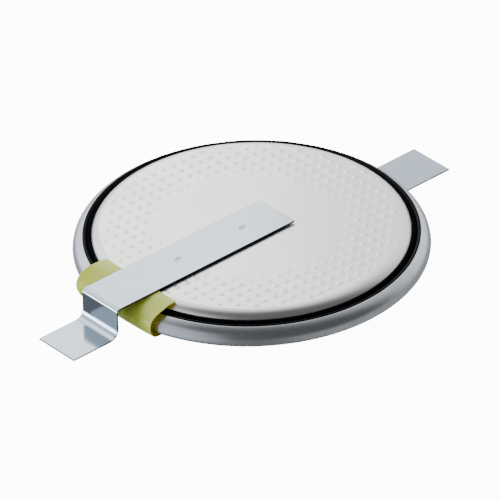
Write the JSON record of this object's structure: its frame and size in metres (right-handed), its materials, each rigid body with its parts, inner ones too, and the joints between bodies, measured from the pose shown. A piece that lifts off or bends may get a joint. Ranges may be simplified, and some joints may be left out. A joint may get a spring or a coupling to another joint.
{
  "type": "tabbed lithium coin cell",
  "caption": "Thin round lithium coin cell: rolled steel can, embossed cap and black seal, with a stepped negative solder tab over insulating tape and a straight positive tab.",
  "frame": {"origin": "centre of the can's flat bottom face, on the can's axis", "axes": "+Z out through the negative cap, +X parallel to the two tabs towards the free end of the positive tab, +Y across the tabs; the tabs' centre line is at y = -0.06 mm"},
  "size_m": [0.028, 0.02, 0.0019],
  "materials": {
    "can_steel": "satin deep-drawn stainless steel",
    "cap_steel": "fine matt stainless steel with small raised bumps",
    "gasket_black": "smooth black moulded polypropylene",
    "sealant_black": "glossy black pitch sealant",
    "collector_steel": "plain pressed stainless steel",
    "cathode_mix": "dull pressed black powder",
    "separator_felt": "white non-woven felt",
    "lithium_metal": "soft dull silver foil",
    "tab_nickel": "satin rolled nickel strip",
    "weld_metal": "dull fused metal",
    "tape_film": "glossy translucent yellow-green film"
  },
  "bodies": {
    "root": {"positive_can": "can_steel", "negative_cap": "cap_steel", "sealing_gasket": "gasket_black", "sealant_ring": "sealant_black", "collector_ring": "collector_steel", "cathode_pellet": "cathode_mix", "separator": "separator_felt", "lithium_anode": "lithium_metal", "negative_tab": "tab_nickel", "positive_tab": "tab_nickel", "negative_weld_inner": "weld_metal", "negative_weld_outer": "weld_metal", "positive_weld_inner": "weld_metal", "positive_weld_outer": "weld_metal", "insulating_tape": "tape_film"}
  },
  "joints": []
}
